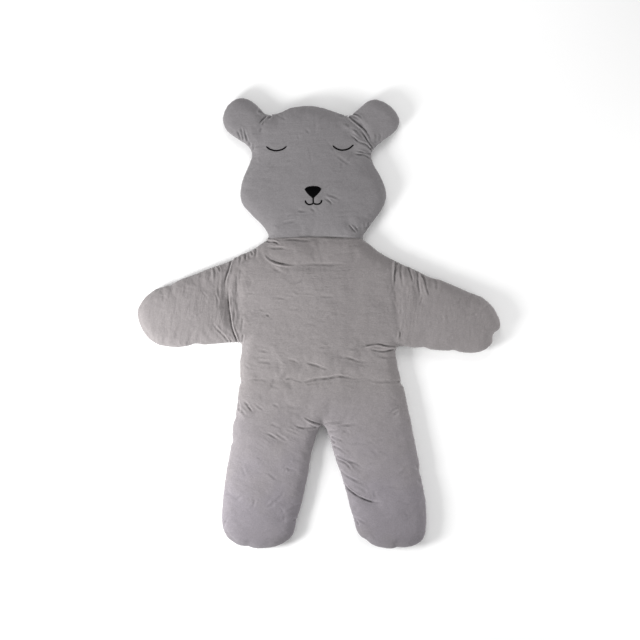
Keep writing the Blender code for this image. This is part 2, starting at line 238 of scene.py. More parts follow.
# Creases by zone. Each row: what it is, the places it runs through as x, y, x, y and so on, its depth,
# its half width, and lean: how much of its ridge lies on the left of its way, from -1 (right only)
# to 1 (left only)
creaseZones = {
    "neck and collar": (
        ("neck pleat", (-172, 272, -158, 268, -144, 267, -134, 262, -126, 259), 5.0, 2.8, 0.8),
        ("under the neck pleat", (-180, 250, -150, 249, -128, 248, -110, 245, -92, 239), 3.2, 3.6, 0.7),
        ("collar, sweep", (-180, 238, -172, 221, -160, 209, -140, 201, -118, 196, -92, 192, -68, 195),
         4.8, 3.3, -0.8),
        ("collar, second sweep", (-168, 192, -150, 181, -128, 171, -104, 164), 2.1, 5.1, 0.8),
        ("chest line", (-66, 194, -10, 194, 40, 194, 86, 193, 106, 190), 2.1, 3.8, 0.3),
        ("under the neck seam", (-138, 274, -104, 276, -70, 276, -42, 274, -12, 270), 3.0, 3.6, 0.9),
        ("neck, left end", (-158, 287, -148, 290, -138, 286), 1.6, 3.3, 0.0),
        ("neck, middle", (-64, 289, -30, 289, -4, 288), 1.6, 3.3, -0.6),
        ("neck, right", (-6, 288, 50, 284, 100, 281, 140, 279), 2.0, 3.9, 0.9),
    ),
    "left shoulder and sleeve": (
        ("shoulder, outer", (-281, 213, -291, 200, -299, 176, -306, 154, -310, 134, -312, 112), 5.0, 2.6,
         0.8),
        ("shoulder, low", (-301, 130, -300, 100, -298, 66, -295, 30, -289, -2, -281, -34, -271, -60), 5.2,
         2.6, 0.9),
        ("shoulder, inner", (-270, 168, -271, 125, -273, 92), 2.0, 3.7, 0.4),
        ("shoulder, inner low", (-280, 62, -279, 34, -278, 6), 2.1, 3.5, -0.6),
        ("armpit, upright", (-251, 24, -254, -4, -256, -28), 2.0, 3.7, 0.4),
        ("armpit, low", (-250, -34, -251, -46, -253, -60), 3.2, 3.0, 0.5),
        ("sleeve, upper", (-325, 165, -331, 121, -330, 68), 1.5, 3.9, 0.3),
        ("sleeve, middle", (-337, 90, -336, 66, -334, 46), 1.3, 3.9, 0.3),
        ("sleeve, low", (-352, 6, -342, -14, -327, -31, -313, -44, -300, -58), 2.5, 3.2, 0.6),
        ("sleeve, lowest", (-310, -38, -300, -46, -290, -58), 2.0, 3.5, 0.6),
        ("shoulder gather, first", (-347, 180, -344, 162, -345, 140), 2.0, 3.7, -0.6),
        ("shoulder gather, second", (-336, 188, -330, 180, -326, 166), 4.0, 2.8, 0.0),
        ("shoulder gather, third", (-258, 216, -259, 205, -262, 190), 2.0, 3.7, 0.0),
        ("shoulder gather, fourth", (-240, 230, -242, 216, -242, 204), 2.5, 3.2, 0.0),
        ("shoulder gather, fifth", (-225, 238, -221, 230, -218, 222), 4.4, 2.8, 0.0),
        ("shoulder gather, sixth", (-207, 245, -206, 228, -212, 208), 1.7, 3.7, 0.0),
    ),
    "right shoulder and sleeve": (
        ("shoulder", (254, 204, 254, 176, 254, 148, 253, 116), 4.8, 2.7, -0.8),
        ("shoulder, edge", (262, 207, 262, 200, 260, 192), 2.6, 3.0, 0.0),
        ("shoulder, low", (253, 118, 256, 92, 258, 60), 1.1, 3.7, -0.6),
        ("armpit", (270, -22, 271, -40, 268, -58), 2.8, 3.0, -0.4),
        ("sleeve, first", (272, 192, 275, 166, 278, 138, 280, 112), 2.8, 3.8, 0.5),
        ("sleeve, second", (299, 180, 305, 162, 311, 146, 317, 131), 4.2, 2.7, 0.6),
        ("sleeve, third", (321, 172, 329, 156, 333, 134, 336, 108, 338, 76), 3.2, 3.6, 0.5),
        ("sleeve, fourth", (341, 158, 350, 146, 356, 128, 361, 106, 370, 82), 4.0, 3.0, -0.4),
        ("sleeve, fifth", (384, 146, 392, 126, 396, 100), 1.8, 4.3, 0.3),
        ("sleeve, under it", (275, 54, 275, 40, 274, 26), 1.6, 3.9, 0.0),
    ),
    "waist": (
        ("side lens, upper", (138, -80, 162, -77, 182, -72, 200, -70, 220, -76, 250, -81), 4.8, 2.9, -0.8),
        ("side lens, lower", (168, -83, 184, -90, 202, -95, 220, -96, 246, -87), 4.8, 2.9, 0.8),
        ("right waist", (60, -106, 74, -112, 100, -118, 130, -127, 160, -130, 184, -130), 2.6, 3.6, 0.5),
        ("right waist, end", (190, -112, 220, -114, 254, -118), 1.5, 4.3, 0.0),
        ("right waist, second", (98, -88, 118, -87, 140, -85), 1.5, 3.7, 0.2),
        ("middle waist", (-52, -127, -28, -137, -6, -141, 16, -151, 46, -160), 3.2, 3.4, 0.7),
        ("waist, left of it", (-104, -124, -82, -125, -62, -135), 2.5, 3.4, 0.6),
        ("waist, left of it, second", (-130, -136, -118, -140, -106, -143), 1.6, 3.7, 0.4),
        ("left waist, upper", (-202, -95, -182, -95, -162, -99), 1.8, 4.1, 0.4),
        ("left waist, lower", (-206, -131, -176, -130, -146, -133), 2.0, 4.1, 0.4),
        ("left waist, edge", (-246, -132, -238, -142, -226, -150), 1.5, 3.9, 0.4),
        ("belly", (-8, -83, 20, -81, 60, -82), 1.5, 3.9, 0.3),
    ),
    "hip line": (
        ("left notch", (-264, -200, -254, -197, -244, -196), 4.0, 2.6, 0.3),
        ("left end", (-240, -195, -200, -189, -180, -190, -158, -194), 2.0, 3.9, 0.4),
        ("left", (-110, -188, -94, -186, -76, -186), 2.5, 3.4, 0.4),
        ("middle", (-80, -199, -44, -195, -8, -189, 30, -184, 64, -179, 96, -181, 118, -185, 148, -188),
         4.2, 3.5, 0.7),
        ("under the middle", (-44, -203, -24, -203, -4, -202), 1.5, 3.7, 0.0),
        ("right end", (150, -190, 210, -196, 274, -199), 1.6, 4.1, 0.3),
        ("right notch", (279, -202, 272, -200, 264, -198), 3.2, 3.0, 0.0),
        ("left hip, slanting", (-252, -258, -240, -270, -228, -284, -214, -298), 2.8, 3.2, 0.5),
        ("left hip, beside it", (-244, -262, -234, -271, -226, -278), 1.8, 3.5, 0.4),
        ("left hip, inner slant", (-212, -270, -198, -280, -178, -290), 2.5, 3.4, 0.5),
        ("left hip, edge", (-266, -262, -262, -276, -262, -290), 2.0, 3.5, 0.2),
        ("left hip, lower slant", (-262, -286, -250, -298, -240, -314), 1.8, 3.9, 0.3),
        ("right hip gather", (246, -306, 258, -300, 272, -290), 2.0, 3.9, 0.0),
        ("right hip gather, upper", (240, -296, 256, -288, 272, -278), 1.5, 3.9, 0.0),
    ),
    "crotch": (
        ("left crotch, first", (-50, -311, -38, -320, -20, -329, 2, -337), 4.4, 2.9, -0.5),
        ("left crotch, second", (-84, -338, -62, -347, -40, -350, -10, -348), 3.4, 3.2, 0.3),
        ("left crotch, between", (-30, -340, -18, -342, -6, -344), 1.8, 3.1, 0.0),
        ("left crotch, third", (-112, -351, -88, -361, -60, -375), 1.8, 3.9, 0.4),
        ("left thigh", (-182, -362, -164, -370, -144, -382, -126, -389), 2.6, 3.4, 0.5),
        ("left thigh, lower", (-146, -366, -124, -378, -98, -394), 2.0, 3.9, 0.4),
        ("left thigh, inner", (-162, -334, -140, -344, -118, -352), 1.5, 4.1, 0.3),
        ("left thigh, upper", (-156, -271, -142, -276, -126, -281), 1.6, 3.7, 0.3),
        ("left thigh, broad", (-112, -272, -84, -281, -40, -281), 1.8, 5.3, 0.3),
        ("right crotch", (28, -336, 56, -333, 98, -328), 1.8, 3.9, 0.3),
        ("right crotch, second", (60, -344, 100, -341, 140, -333), 2.1, 3.9, 0.3),
        ("right crotch, third", (42, -362, 62, -361, 80, -357), 1.8, 3.7, 0.2),
        ("right crotch, fourth", (76, -356, 92, -361, 110, -368), 1.3, 3.7, 0.2),
    ),
    "right leg": (
        ("top", (50, -381, 68, -387, 92, -398), 2.5, 3.3, 0.5),
        ("edge", (40, -385, 48, -393, 55, -399), 2.8, 3.0, 0.0),
        ("across", (84, -401, 120, -402, 180, -404), 1.1, 3.9, 0.2),
        ("first", (56, -413, 72, -419, 84, -428, 100, -438), 3.3, 3.2, 0.5),
        ("second", (68, -446, 84, -453, 104, -461, 126, -468, 142, -480, 156, -487), 2.8, 3.6, 0.5),
        ("third", (60, -445, 66, -454, 78, -461, 92, -468, 104, -480, 116, -492, 128, -497), 3.3, 3.2, 0.5),
        ("fourth", (78, -494, 88, -504, 104, -515, 122, -525, 142, -532, 160, -540), 3.2, 3.4, 0.5),
        ("under the fourth", (112, -536, 130, -546, 150, -558, 168, -574), 1.8, 4.1, 0.5),
        ("fifth", (90, -541, 100, -553, 116, -564, 138, -579, 158, -589, 180, -595, 222, -601), 6.0, 2.9,
         0.8),
        ("heel", (121, -655, 129, -661, 135, -669), 3.0, 3.1, 0.4),
        ("heel, second", (126, -651, 144, -659, 163, -673), 2.5, 3.2, 0.4),
        ("outer gather", (346, -500, 330, -486, 318, -470), 1.6, 3.9, 0.0),
        ("outer gather, low", (350, -540, 336, -530, 326, -520), 1.3, 3.9, 0.0),
    ),
    "left leg": (
        ("inner", (-112, -481, -92, -487, -71, -490), 1.6, 3.9, 0.2),
        ("ankle", (-89, -657, -82, -657, -73, -655), 2.6, 3.2, 0.2),
        ("left knee, slanting", (-170, -500, -145, -516, -128, -528), 1.1, 4.3, 0.2),
    ),
    "faint lines across the chest": (
        ("faint, first", (-155, 83, -130, 82, -102, 79), 1.5, 3.7, 0.3),
        ("faint, second", (-102, 43, -76, 45, -55, 49), 1.5, 3.7, 0.3),
        ("faint, third", (-55, 99, -30, 98, -8, 96), 1.3, 3.7, 0.3),
        ("faint, fourth", (-5, 86, 35, 87, 69, 89), 1.5, 3.7, 0.3),
        ("faint, fifth", (-196, 45, -184, 43, -174, 45), 2.0, 3.7, 0.3),
        ("dimple", (-176, 27, -168, 24, -160, 23), 3.0, 3.6, 0.2),
    ),
    "ears": (
        ("right ear, main fold", (100, 685, 114, 673, 128, 663, 144, 649, 158, 634, 168, 620, 178, 602),
         5.6, 2.8, -0.9),
        ("right ear, second", (136, 638, 147, 628, 156, 617, 163, 605, 170, 592, 176, 583), 5.4, 2.5, 0.2),
        ("right ear, third", (110, 648, 124, 638, 136, 626, 148, 614), 3.3, 3.2, -0.7),
        ("right ear, fourth", (100, 627, 116, 617, 130, 605, 144, 597, 158, 590, 170, 579), 4.2, 2.8, 0.6),
        ("right ear, broad", (80, 666, 96, 656, 112, 648), 2.0, 4.9, -0.5),
        ("right ear, top gather", (108, 691, 122, 693, 136, 688, 150, 676), 4.0, 2.7, -0.5),
        ("right ear, top gather, low", (118, 686, 130, 680, 142, 674), 2.1, 3.5, -0.3),
        ("right ear, low gather", (188, 632, 191, 620, 190, 606), 1.5, 3.5, 0.0),
        ("right ear, low gather, second", (204, 634, 206, 622, 203, 610), 1.6, 3.5, 0.0),
        ("right temple, first", (124, 574, 140, 568, 154, 562, 168, 561), 2.6, 3.2, 0.4),
        ("right temple, second", (114, 565, 134, 559, 150, 556, 162, 549, 174, 540), 4.0, 2.8, 0.5),
        ("right temple, upright", (172, 582, 175, 566, 175, 546), 2.8, 3.0, -0.5),
        ("right temple, third", (50, 563, 80, 542, 112, 517), 1.3, 4.1, 0.2),
        ("left ear, base", (-176, 685, -184, 677, -191, 669, -198, 658), 4.8, 2.8, 0.8),
        ("left ear, base, second", (-178, 672, -183, 664, -185, 655), 2.1, 3.5, 0.3),
        ("left ear, base, long", (-186, 652, -192, 642, -196, 632), 1.8, 4.1, 0.4),
        ("left ear, corner", (-157, 690, -161, 682, -170, 676), 5.0, 2.8, 0.3),
        ("left ear, top corner", (-198, 703, -190, 699, -180, 692), 3.0, 3.4, 0.0),
        ("left ear, first gather", (-272, 642, -265, 629, -260, 614), 3.0, 3.0, 0.4),
        ("left ear, second gather", (-260, 652, -254, 636, -249, 616), 3.0, 3.0, 0.5),
        ("left ear, third gather", (-247, 650, -243, 630, -237, 608), 3.2, 3.0, 0.3),
        ("left ear, fourth gather", (-233, 612, -229, 602, -226, 594), 2.1, 3.5, 0.3),
        ("left ear, low gather", (-213, 600, -213, 590, -214, 580), 1.8, 3.5, 0.0),
    ),
    "face": (
        ("beside the nose, upper", (22, 431, 42, 422, 60, 414, 76, 404), 2.1, 3.9, -0.6),
        ("beside the nose, middle", (17, 415, 30, 407, 42, 397, 52, 389), 3.0, 3.2, 0.6),
        ("below the mouth", (-28, 383, -20, 376, -9, 371), 2.1, 3.9, 0.2),
        ("chin, middle", (-72, 371, -50, 370, -34, 373), 2.5, 3.8, 0.4),
        ("chin, left", (-120, 328, -100, 334, -74, 336), 1.8, 4.3, 0.4),
        ("chin, left, upper", (-104, 350, -92, 357, -80, 362), 1.5, 3.9, 0.4),
        ("chin, right", (100, 327, 108, 316, 117, 307, 128, 300), 4.6, 2.7, 0.9),
        ("chin, right, second", (118, 322, 126, 312, 134, 303), 2.0, 3.5, 0.2),
        ("chin, right edge", (162, 332, 162, 324, 158, 316), 2.8, 3.0, 0.0),
        ("chin, right edge, second", (150, 338, 152, 326, 153, 312), 1.8, 3.5, 0.0),
        ("cheek, right", (46, 354, 80, 354, 114, 354), 1.0, 3.5, 0.0),
    ),
}
creaseRows = [
    (name, tuple(zip(flat[::2], flat[1::2])), depth, width, lean)
    for rows in creaseZones.values() for name, flat, depth, width, lean in rows
]


# Faint creases, strewn by zone: centre, half size, the way they run in degrees and how many
faintCreases = {
    "zones": (
        # name, x, y, half width, half height, angle, spread, count
        ("chest", -5, 90, 240, 130, 2, 22, 60),
        ("waist", -5, -110, 240, 75, -2, 14, 46),
        ("hips", 0, -255, 250, 60, -4, 16, 34),
        ("left thigh", -150, -400, 120, 70, -24, 20, 20),
        ("right thigh", 180, -400, 130, 70, -18, 22, 20),
        ("left shin", -195, -580, 110, 130, -10, 50, 26),
        ("right shin", 230, -580, 110, 130, -22, 40, 26),
        ("left arm", -440, 40, 130, 80, 70, 50, 26),
        ("right arm", 440, 20, 130, 80, 80, 45, 26),
        ("left shoulder", -275, 90, 50, 120, 88, 14, 18),
        ("right shoulder", 290, 80, 60, 110, 88, 14, 18),
        ("brow", -25, 640, 140, 60, 0, 70, 14),
        ("cheeks", -20, 480, 210, 110, 10, 50, 40),
        ("chin", -10, 330, 140, 40, 2, 24, 18),
    ),
    "length": (18.0, 75.0),
    "depth": (0.3, 1.2),
    "width": (2.8, 4.4),
    "bend": 0.10,         # how far a crease's middle lies off its straight way, as a share
}


def strewnCreases(values, draw):
    rows = []
    for name, x, y, halfWidth, halfHeight, angle, spread, count in values["zones"]:
        for number in range(count):
            middle = np.array((x + draw.uniform(-1, 1) * halfWidth, y + draw.uniform(-1, 1) * halfHeight))
            way = math.radians(angle + draw.normal() * spread)
            half = draw.uniform(*values["length"]) / 2 * np.array((math.cos(way), math.sin(way)))
            bent = middle + draw.normal() * values["bend"] * np.array((-half[1], half[0])) * 2
            depth = values["depth"][0] + draw.uniform() ** 2 * (values["depth"][1] - values["depth"][0])
            width = draw.uniform(*values["width"])
            places = (tuple(middle - half), tuple(bent), tuple(middle + half))
            rows.append((name, places, depth, width, draw.uniform(-0.6, 0.6)))
    return rows


# The face's embroidered lines, and the width of their stitches. The nose is a row of long threads
# across its middle line.
stitchedLines = {
    "eye_left": ((((-173, 585), (-160, 576), (-141, 571.5), (-120, 575.5), (-106, 585)),), 5.8),
    "eye_right": ((((48, 587.5), (61, 577.5), (80, 573), (101, 578.5), (116.5, 591)),), 5.8),
    "mouth": ((
        ((-17, 417), (-17.3, 406), (-17, 395)),
        ((-17, 397.5), (-21.5, 394), (-29, 392.3), (-36, 394), (-41.5, 399), (-43.5, 406)),
        ((-17, 397.5), (-13, 395), (-6, 393.3), (0, 393.8), (5.5, 396), (9.5, 400.5), (10.5, 407.5)),
    ), 5.8),
}

nosePatch = {
    "top": ((-46, 443), (-41.5, 448.5), (-34, 452.5), (-18, 455), (-2, 453.5), (5, 450), (10, 444)),
    "bottom": (
        (-46, 443), (-43, 437), (-37, 428.5), (-28, 419.5), (-18, 413.5), (-8, 419.5), (1, 428.5),
        (7, 437.5), (10, 444),
    ),
    "held": (-18, 436, 36, 28),   # centre and half size of the flat place under it
}

satin = {
    "pitch": 0.62,         # from one thread to the next
    "thread": 0.66,        # how thick a thread is
    "rise": 1.6,           # how high it arches
    "noseRise": 2.4,
    "sunk": 0.6,           # how deep its ends go into the cloth
    "slant": 12.0,         # degrees from square across the line
    "unevenness": 0.05,    # share by which a thread is longer or shorter than the next
    "ends": 3.0,           # length over which a line's end gets narrower
    "drawIn": (0.7, 0.8),  # how deep the stitches pull the cloth in, and how wide as a share of the line
}

creaseLook = {
    "ridge": 0.78,         # height of the ridge beside a trough, as a share of its depth
    "ridgePlace": 1.7,     # its distance from the trough, in half widths
    "ridgeWidth": 1.05,
    "fade": 0.40,          # share of a crease's length over which it starts or ends
    "wander": (0.9, 13.0),               # how far it strays from its line, and over what length
    "uneven": ((0.2, 9.0), (0.15, 4.3)),   # shares by which its depth changes, and over what lengths
    "openEnd": 14.0,       # an end this near to the rim seam runs into it and doesn't fade
}


# how far one crease lifts or lowers the cloth at each point
def creaseHeight(points, row, rim, draw):
    name, places, depth, width, lean = row
    line = smoothLine(places)[:, :2]
    reach = 4.5 * width * mm
    phase = draw.uniform(0, 2 * math.pi, 3)
    near = aroundLine(points, line, reach)
    height = np.zeros(len(points))
    if not near.any():
        return height
    distance, along = besideLine(points[near], line)
    total = lengthsAlong(line)[-1]
    sway, length = creaseLook["wander"]
    distance = distance + sway * mm * np.sin(along / (length * mm) + phase[0])
    uneven = 1
    for (share, length), start in zip(creaseLook["uneven"], phase[1:]):
        uneven = uneven + share * np.sin(along / (length * mm) + start)
    fade = creaseLook["fade"] * total
    shape = np.ones(len(along))
    for place, way in ((line[0], along), (line[-1], total - along)):
        if rim.find(Vector((*place, seamHeight)))[2] > creaseLook["openEnd"] * mm:
            shape *= smoothStep(way / fade)
    across = distance / (width * mm)
    left = bell((across - creaseLook["ridgePlace"]) / creaseLook["ridgeWidth"])
    right = bell((across + creaseLook["ridgePlace"]) / creaseLook["ridgeWidth"])
    ridge = creaseLook["ridge"] * (left * (1 + lean) + right * (1 - lean)) / 2
    height[near] = depth * mm * uneven * shape * (ridge - bell(across))
    return height


# The filled rug: the grid of its cloth, how it is filled, and its seams
filling = {
    "voxel": 7.2,
    "evening": 7,          # rounds of smoothing that take out the solid's flat faces
    "underKept": 0.06,     # share of the faces kept where the rug lies flat on the floor
    "flatBelow": 1.2,      # cloth this near to the floor lies flat on it
    "pressure": 4.0,
    "frames": 18,
    "slack": 0.01,         # share by which the cloth is cut larger than the filling
    "travel": 4.0,         # no point of the cloth moves further than this
    "sunken": 1.5,         # the cloth starts this far inside, because the pressure lifts it
    # the pressure doesn't move the cloth nearer than the first number, and moves it freely past the second
    "rimHold": (8.0, 22.0),
    "floorHold": (6.0, 16.0),
    "neckHold": (1.0, 11.0),
    "heldDepth": 1.8,      # a crease as deep as this is held while the pressure lifts the rest
    "held": (0.8, 2.2),    # how strongly, and how far from it in its half widths
    "holdSteps": 10,
    "settle": 1.3,         # cloth that is a little held still moves all the way
    # how far the outermost cloth is moved out for what the grid lost, and how far in from the rim
    "edgeLift": (2.4, 22.0),
    # how much higher the cloth stands near the rim, how far inside it, and the half width
    "fullness": (3.6, 34.0, 22.0),
}

# the cloth itself, by Blender's own names
clothStuff = {
    "quality": 4,
    "mass": 0.25,
    "tension_stiffness": 12,
    "compression_stiffness": 12,
    "shear_stiffness": 4,
    "bending_stiffness": 0.4,
}

rimSeam = {
    "depth": 1.6,
    "width": 2.6,
    "puckerEvery": 13.0,
    "puckerDepth": (0.15, 0.7),
    "puckerWidth": (2.2, 4.0),
    "puckerReach": (7.0, 20.0),
    "calm": (0.6, 8.0),      # share by which creases get lower at the rim, and how near it
}

# how far from a line the grid is made finer, in its half widths, and half the length of the neck
finer = {"rim": 2.2, "neck": 3.5, "crease": 2.9, "neckHalf": 190}

# small dips in the outline: where, how deep, half width. One of negative depth is a bulge.
rimNicks = (
    (-495, 130, 2.5, 12), (-410, -76, 2.0, 14), (350, -88, 3.0, 11), (452, -98, 2.0, 14),
    (592, -42, 5.0, 15), (-263, -198, 3.0, 9), (279, -199, 3.0, 9), (-279, -313, 2.5, 10),
    (-288, -394, 2.5, 10), (-236, -747, 3.0, 12), (264, -748, 2.5, 10), (158, -727, 2.5, 12),
    (339, -497, 2.5, 12), (-205, -747, -3.6, 70), (248, -748, -3.6, 50), (600, -14, -3.5, 25),
    (200, 573, -5.0, 14),
)

# soft folds, which run across the body, down the arms and askew on the legs
ripple = {
    "height": 1.2,
    "lengths": (24.0, 95.0),
    "waves": 34,
    "spread": 24,          # degrees by which their ways differ
    "swell": 1.9,          # how fast a wave swells and fades along itself
    "headHeight": 0.6,     # the head's are lower, as a share
    "headFrom": (270, 300),
}


# one closed form of both sections, with the two overlapping at the neck so that the grid joins them
def joinedForm():
    form = bmesh.new()
    rims = []
    for name in ("head", "body"):
        part = mergedCopy(name, name + "_part")
        rims.append(rimLine(part.data))
        if name == "head":
            points = readPoints(part.data)
            atNeck = np.abs(pastNeck(points)) < 1 * mm
            points[atNeck, 1] -= neckSeam["overlap"] * mm
            writePoints(part.data, points)
        form.from_mesh(part.data)
        bpy.data.meshes.remove(part.data)
    mesh = bpy.data.meshes.new("rug")
    closeForm(form, mesh)
    return newPiece("rug", mesh), rims


def gridOf(piece, values):
    grid = piece.modifiers.new("grid", "REMESH")
    grid.mode = "VOXEL"
    grid.voxel_size = values["voxel"] * mm
    # a round that shrinks and a round that swells back take out the flat faces and keep the size
    for factor in (0.5, -0.53):
        even = piece.modifiers.new("even", "SMOOTH")
        even.factor = factor
        even.iterations = values["evening"]
    applyModifiers(piece)


def fillCloth(piece, rim, values):
    points = readPoints(piece.data)
    normals = readNormals(piece.data)
    rimGap = np.array([rim.find(point)[2] for point in points]) / mm
    free = np.ones(len(points))
    for away, (near, far) in (
            (rimGap, values["rimHold"]),
            (points[:, 2] / mm, values["floorHold"]),
            (np.abs(pastNeck(points)) / mm, values["neckHold"])):
        free *= ramp(away, near, far)
    for name, places, depth, width, lean in creaseRows:
        if depth >= values["heldDepth"]:
            near, along = besideLine(points[:, :2], smoothLine(places)[:, :2])
            share, reach = values["held"]
            free *= 1 - share * bell(near / (reach * width * mm))
    start = points - normals * (values["sunken"] * mm * free)[:, None]
    writePoints(piece.data, start)
    held = piece.vertex_groups.new(name="held")
    steps = values["holdSteps"]
    levels = np.round((1 - free) * steps).astype(int)
    for level in range(1, steps + 1):
        held.add(np.nonzero(levels == level)[0].tolist(), level / steps, "REPLACE")
    cloth = piece.modifiers.new("cloth", "CLOTH")
    settings = cloth.settings
    for name, value in clothStuff.items():
        setattr(settings, name, value)
    settings.use_pressure = True
    settings.uniform_pressure_force = values["pressure"]
    settings.shrink_min = -values["slack"]
    settings.vertex_group_mass = "held"
    settings.pin_stiffness = 1
    settings.effector_weights.gravity = 0
    cloth.collision_settings.use_collision = False
    cloth.point_cache.frame_start = 1
    cloth.point_cache.frame_end = values["frames"]
    for step in range(1, values["frames"] + 1):
        scene.frame_set(step)
    applyModifiers(piece)
    scene.frame_set(1)
    moved = readPoints(piece.data) - start
    travel = np.linalg.norm(moved, axis=1)
    limit = values["travel"] * mm
    capped = start + moved * (limit * np.tanh(travel / limit) / np.maximum(travel, 1e-9))[:, None]
    writePoints(piece.data, points + (capped - points) * np.clip(free * values["settle"], 0, 1)[:, None])
    piece.vertex_groups.clear()


# where the rug lies flat on the floor a few faces are enough
def thinUnderside(piece, values):
    points = readPoints(piece.data)
    flat = np.nonzero(points[:, 2] < values["flatBelow"] * mm)[0]
    under = piece.vertex_groups.new(name="under")
    under.add(flat.tolist(), 1.0, "REPLACE")
    isFlat = set(flat.tolist())
    faces = sum(all(index in isFlat for index in face.vertices) for face in piece.data.polygons)
    thin = piece.modifiers.new("thin", "DECIMATE")
    thin.vertex_group = "under"
    thin.ratio = 1 - (1 - values["underKept"]) * faces / len(piece.data.polygons)
    applyModifiers(piece)
    piece.vertex_groups.clear()


# the grid is made finer along creases and seams, where the cloth turns most sharply
def refineGrid(piece, rim, rows):
    points = readPoints(piece.data)
    flat = points[:, :2]
    rimGap = np.array([rim.find(point)[2] for point in points])
    fine = rimGap < finer["rim"] * rimSeam["width"] * mm
    upper = points[:, 2] > seamHeight - 4 * mm
    atNeck = np.abs(pastNeck(points)) < finer["neck"] * neckSeam["width"] * mm
    fine |= upper & atNeck & (np.abs(points[:, 0]) < finer["neckHalf"] * mm)
    for name, places, depth, width, lean in rows:
        line = smoothLine(places)[:, :2]
        reach = finer["crease"] * width * mm
        near = upper & aroundLine(flat, line, reach)
        if near.any():
            distance, along = besideLine(flat[near], line)
            fine[np.nonzero(near)[0][np.abs(distance) < reach]] = True
    form = openForm(piece.data)
    chosen = [edge for edge in form.edges if fine[edge.verts[0].index] and fine[edge.verts[1].index]]
    bmesh.ops.subdivide_edges(form, edges=chosen, cuts=1, use_grid_fill=True)
    closeForm(form, piece.data)


# from where to where the folds turn: upright on the arms, askew on the legs
lie = {
    "armsOutward": (235, 295),
    "armsLow": (-130, -70),
    "armsHigh": (330, 270),
    "legs": (-290, -380),
}


# how much the cloth's folds run upright or askew at each point
def clothLie(points):
    x, y = np.abs(points[:, 0]) / mm, points[:, 1] / mm
    upright = ramp(x, *lie["armsOutward"]) * ramp(y, *lie["armsLow"]) * ramp(y, *lie["armsHigh"])
    return upright, ramp(y, *lie["legs"])


# each soft fold is a wave one way, which swells and fades the other way
def rippleHeight(points, values, draw):
    upright, askew = clothLie(points)
    height = np.zeros(len(points))
    for share, degrees in ((1 - upright - askew, 90), (upright, -6), (askew, 62)):
        folds = np.zeros(len(points))
        for wave in range(values["waves"]):
            length = draw.uniform(*values["lengths"]) * mm
            angle = math.radians(degrees + draw.normal() * values["spread"])
            first, second = draw.uniform(0, 2 * math.pi, 2)
            over = points[:, 0] * math.cos(angle) + points[:, 1] * math.sin(angle)
            along = points[:, 1] * math.cos(angle) - points[:, 0] * math.sin(angle)
            swell = np.sin(values["swell"] * along / length + second)
            folds += length * np.sin(2 * math.pi * over / length + first) * swell
        height += share * folds / np.abs(folds).max()
    height *= 1 - (1 - values["headHeight"]) * ramp(points[:, 1] / mm, *values["headFrom"])
    return height * values["height"] * mm


def sewAndCrease(piece, rim, rimLength, rows, draw):
    points = readPoints(piece.data)
    normals = readNormals(piece.data)
    flat = points[:, :2]
    nearest = [rim.find(point) for point in points]
    rimGap = np.array([found[2] for found in nearest])
    rimAlong = np.array([found[1] for found in nearest]) * 2 * mm
    upper = smoothStep((points[:, 2] - seamHeight + 6 * mm) / (8 * mm))
    under = smoothStep(points[:, 2] / (6 * mm))
    height = rippleHeight(points, ripple, draw) * upper
    fold = np.zeros(len(points))
    for row in rows:
        fold += creaseHeight(flat, row, rim, draw) * upper
    share, reach = rimSeam["calm"]
    fold *= 1 - share * bell(rimGap / (reach * mm))
    # the cloth is held flat under the nose's long threads
    x, y, halfWidth, halfHeight = nosePatch["held"]
    held = ((flat[:, 0] / mm - x) / halfWidth) ** 2 + ((flat[:, 1] / mm - y) / halfHeight) ** 2
    fold *= 1 - bell(held)
    height = height * (1 - bell(held)) + fold
    lift, reach = filling["edgeLift"]
    height += lift * mm * bell(rimGap / (reach * mm)) * under
    lift, inside, halfWidth = filling["fullness"]
    height += lift * mm * bell((rimGap / mm - inside) / halfWidth) * upper
    for x, y, depth, halfWidth in rimNicks:
        away = ((flat - np.array((x, y)) * mm) ** 2).sum(1) / (halfWidth * mm) ** 2
        height -= depth * mm * np.exp(-away) * under
    deep, share = satin["drawIn"]
    for lines, width in stitchedLines.values():
        for places in lines:
            line = smoothLine(places)[:, :2]
            near = aroundLine(flat, line, 20 * mm)
            distance, along = besideLine(flat[near], line)
            height[near] -= deep * mm * bell(distance / (share * width * mm)) * upper[near]
    # the seam at the rim, and the small puckers that run away from it
    groove = rimSeam["depth"] * mm * bell(rimGap / (rimSeam["width"] * mm))
    pucker = np.zeros(len(points))
    place = 0.0
    while place < rimLength:
        depth = draw.uniform(*rimSeam["puckerDepth"]) * mm
        width = draw.uniform(*rimSeam["puckerWidth"]) * mm
        reach = draw.uniform(*rimSeam["puckerReach"]) * mm
        fade = smoothStep(1.15 - rimGap / reach)
        pucker += depth * fade * bell((rimAlong - place) / width)
        place += rimSeam["puckerEvery"] * mm * draw.uniform(0.4, 1.7)
    height -= (groove + pucker) * under
    points += normals * height[:, None]
    # the neck seam, deeper in some places than in others
    across = pastNeck(points) / (neckSeam["width"] * mm)
    uneven = 1 + 0.25 * np.sin(points[:, 0] / (21 * mm)) + 0.15 * np.sin(points[:, 0] / (8.5 * mm) + 1)
    drop = neckSeam["depth"] * mm * uneven * bell(across)
    points[:, 2] -= drop * upper * (np.abs(points[:, 0] + 10 * mm) < 160 * mm)
    points[:, 2] = np.maximum(points[:, 2], 0)
    writePoints(piece.data, points)
    # fold heights, which the jersey turns into painted shade in troughs and a painted highlight on ridges
    giveValues(piece.data, "fold", (fold - drop * upper) / mm)


